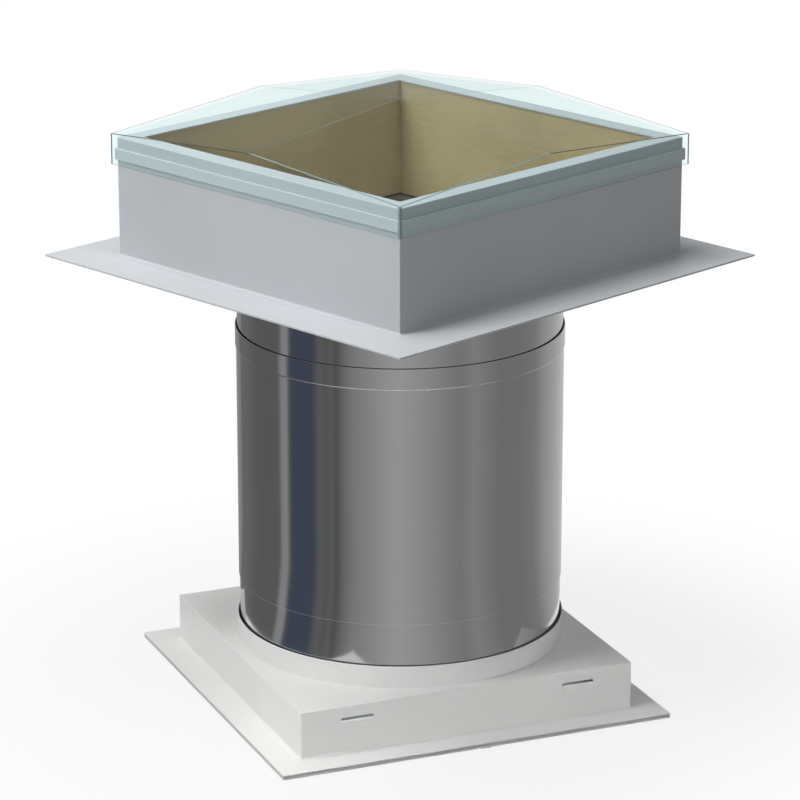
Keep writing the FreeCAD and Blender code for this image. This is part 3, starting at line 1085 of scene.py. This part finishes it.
    def rivets(self):
        """The clips' rivet heads: low caps on the clips' inner faces, as circles whose radius
        falls off as the cosine of an angle while the height goes with its sine."""
        low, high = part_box("pane_clips")
        rise = high[2] - RIVET_DROP
        seat = BOX_SIDE / 2 - self.sizes.box_sheet - CLIP_SHEET
        share = np.linspace(0.0, 0.48, 6)[:, None] * math.pi
        angle = full_turn(20)[None]
        radius = self.sizes.rivet_radius * np.cos(share)
        across = radius * np.cos(angle)
        height = rise + radius * np.sin(angle)
        out = np.broadcast_to(seat - RIVET_HEIGHT * np.sin(share), across.shape)
        heads = []
        for side in (0.0, math.pi):
            for offset in (-CLIP_OFFSET, CLIP_OFFSET):
                place = turned(out, across + offset, side + FRAME_TURN)
                heads.append((np.stack([*place, height], axis=2), False))
        return heads


class SKYLIGHT_OT_stage(SkylightOperator, bpy.types.Operator):
    """Set the floor, the reflections, the lamps and the camera"""

    bl_idname = "skylight.stage"
    bl_label = "Stage"

    def execute(self, context):
        scene = context.scene
        view = scene.skylight_view
        self.camera(scene, view)
        self.floor(scene)
        self.tent(scene, view)
        self.world(scene)
        self.lamps(scene, view)
        scene.view_settings.view_transform = "Standard"
        return {"FINISHED"}

    def camera(self, scene, view):
        data = bpy.data.cameras.new("camera")
        data.lens = view.lens
        data.sensor_width = 36.0
        data.clip_end = 60.0
        camera = bpy.data.objects.new("camera", data)
        scene.collection.objects.link(camera)
        self.place(camera, view.azimuth, view.reach, view.height, AIM_HEIGHT)
        scene.camera = camera

    @staticmethod
    def place(thing, azimuth, reach, height, aim_height):
        """Puts a camera or lamp at an azimuth from the front, looking at a point on the axis."""
        thing.location = (math.sin(azimuth) * reach, -math.cos(azimuth) * reach, height)
        aim = Vector((0.0, 0.0, aim_height)) - thing.location
        thing.rotation_euler = aim.to_track_quat("-Z", "Y").to_euler()

    @staticmethod
    def add(scene, name, points, faces, material):
        """A thing of the stage, which isn't part of the skylight."""
        mesh = bpy.data.meshes.new(name)
        mesh.from_pydata(points, [], faces)
        mesh.materials.append(material)
        thing = bpy.data.objects.new(name, mesh)
        scene.collection.objects.link(thing)
        return thing

    def floor(self, scene):
        """A pale floor just under the skylight, white to the eye further out, and clear to an eye
        below it."""
        shade = Finish("floor_paint")
        matt = shade.node("ShaderNodeBsdfDiffuse", {}, {"Color": FLOOR_COLOUR})
        glow = shade.node("ShaderNodeEmission", {}, {"Color": WHITE})
        away = (shade.x * shade.x + shade.y * shade.y).math("SQRT").step(*FLOOR_FADE)
        share = shade.seen() * (FLOOR_GLOW + away * (1 - FLOOR_GLOW))
        top = shade.node("ShaderNodeMixShader", {}, {0: share, 1: matt, 2: glow})
        clear = shade.node("ShaderNodeBsdfTransparent", {}, {})
        below = shade.node("ShaderNodeNewGeometry", {}, {}, "Backfacing")
        paint = shade.finished(
            shade.node("ShaderNodeMixShader", {}, {0: below, 1: top, 2: clear})
        )
        far = FLOOR_REACH
        low = -FLOOR_DROP
        corners = [(-far, -far, low), (far, -far, low), (far, far, low), (-far, far, low)]
        self.add(scene, "floor", corners, [(0, 1, 2, 3)], paint)

    def tent(self, scene, view):
        """A round wall and its hem of light and dark cloth, which only the metal sees."""
        outline = np.array(
            [(TENT_HEM, 0.002), (TENT_RADIUS, 0.004), (TENT_RADIUS, TENT_HEIGHT)]
        )
        rings = round_rings(outline, full_turn(96))
        shade = Finish("tent_cloth")
        stops = {"stops": tent_stops(view.azimuth)}
        bands = shade.node("ShaderNodeValToRGB", stops, {"Fac": shade.azimuth()})
        cloth = shade.finished(shade.node("ShaderNodeEmission", {}, {"Color": bands}))
        points = rings.reshape(-1, 3).tolist()
        tent = self.add(
            scene, "reflection_tent", points, ring_faces(rings, False).tolist(), cloth
        )
        tent.visible_camera = False
        tent.visible_diffuse = False
        tent.visible_transmission = False
        tent.visible_shadow = False

    def world(self, scene):
        """White to the eye, dimmer in metal, and a soft even light on everything."""
        scene.world = bpy.data.worlds.new("studio")
        tree = Tree(scene.world)
        fill = tree.node("ShaderNodeBackground", {}, {"Strength": AMBIENT})
        white = tree.node("ShaderNodeBackground", {}, {"Color": WHITE})
        sides = {0: tree.seen(GLOSSY_WHITE), 1: fill, 2: white}
        mix = tree.node("ShaderNodeMixShader", {}, sides)
        tree.node("ShaderNodeOutputWorld", {}, {"Surface": mix})

    def lamps(self, scene, view):
        """Large soft lamps, and two narrow strips with grids for the ceiling frame's wall and the
        kerb's lining. None of them shows in the metal."""
        for name, azimuth, reach, height, wide, deep, power, spread, aim_height in LAMPS:
            data = bpy.data.lights.new(name, "AREA")
            data.shape = "ELLIPSE"
            data.size = wide
            data.size_y = deep
            data.energy = power * view.light
            data.spread = math.radians(spread)
            lamp = bpy.data.objects.new(name, data)
            scene.collection.objects.link(lamp)
            self.place(lamp, view.azimuth + math.radians(azimuth), reach, height, aim_height)
            lamp.visible_glossy = False


def tent_stops(camera_azimuth):
    """The bands as a ramp's stops over a full turn from minus X."""
    camera_turn = camera_azimuth - math.pi / 2
    stops = []
    for azimuth, tone in TENT_BANDS:
        colour = tone if isinstance(tone, tuple) else (tone, tone, tone)
        turn = (camera_turn + math.radians(azimuth)) / (2 * math.pi) + 0.5
        stops.append((turn % 1.0, colour))
    return sorted(stops)


class SKYLIGHT_PT_panel(bpy.types.Panel):
    """Lists the skylight's pieces and its stage"""

    bl_idname = "SKYLIGHT_PT_panel"
    bl_label = "Skylight"
    bl_space_type = "VIEW_3D"
    bl_region_type = "UI"
    bl_category = "Skylight"

    def draw(self, context):
        for name in STEPS:
            self.layout.operator("skylight." + name)
        scene = context.scene
        for group in (scene.skylight_sizes, scene.skylight_looks, scene.skylight_view):
            for name in group.__annotations__:
                self.layout.prop(group, name)


STEPS = ("stage", "dome", "kerb", "adapter", "tube", "ring", "ceiling")

CLASSES = (
    SkylightLooks,
    SkylightSizes,
    SkylightView,
    SKYLIGHT_OT_dome,
    SKYLIGHT_OT_kerb,
    SKYLIGHT_OT_adapter,
    SKYLIGHT_OT_tube,
    SKYLIGHT_OT_ring,
    SKYLIGHT_OT_ceiling,
    SKYLIGHT_OT_stage,
    SKYLIGHT_PT_panel,
)


def register():
    for cls in CLASSES:
        bpy.utils.register_class(cls)
    bpy.types.Scene.skylight_looks = PointerProperty(type=SkylightLooks)
    bpy.types.Scene.skylight_sizes = PointerProperty(type=SkylightSizes)
    bpy.types.Scene.skylight_view = PointerProperty(type=SkylightView)


def unregister():
    del bpy.types.Scene.skylight_view
    del bpy.types.Scene.skylight_sizes
    del bpy.types.Scene.skylight_looks
    for cls in reversed(CLASSES):
        bpy.utils.unregister_class(cls)


def main():
    register()
    for name in STEPS:
        getattr(bpy.ops.skylight, name)()


if __name__ == "__main__":
    main()
